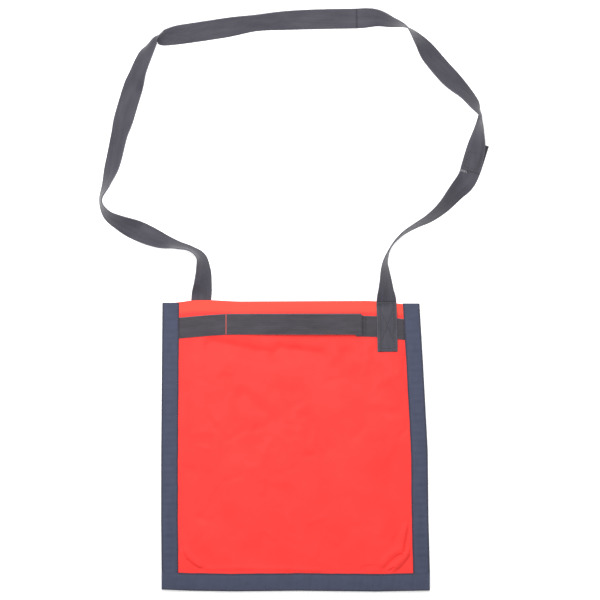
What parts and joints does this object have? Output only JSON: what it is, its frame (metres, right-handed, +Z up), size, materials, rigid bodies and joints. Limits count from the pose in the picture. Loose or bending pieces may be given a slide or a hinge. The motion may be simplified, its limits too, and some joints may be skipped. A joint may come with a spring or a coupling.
{
  "type": "tote bag",
  "caption": "Flat unlined cloth tote bag with taped edges, a webbing handle band across its front and a long webbing shoulder strap, lying front up with the strap in a loose loop.",
  "frame": {"origin": "on the surface that the bag lies on, under the middle of the laid-out bag and strap, just above the bag's mouth", "axes": "+X to the right across the bag seen from above, +Y from the bag's bottom to its mouth and on to the top of the strap's loop, +Z up from the surface through the front"},
  "size_m": [0.4836, 0.7232, 0.0253],
  "materials": {
    "red_cloth": "plain woven coral red cloth, matt with a faint sheen",
    "navy_tape": "woven slate navy binding tape, matt",
    "grey_webbing": "woven charcoal grey webbing, matt with a faint sheen"
  },
  "bodies": {
    "root": {"back_panel": "red_cloth", "front_panel": "red_cloth", "binding_left": "navy_tape", "binding_right": "navy_tape", "binding_bottom": "navy_tape", "front_band": "grey_webbing", "shoulder_strap_long": "grey_webbing", "shoulder_strap_short": "grey_webbing"}
  },
  "joints": []
}
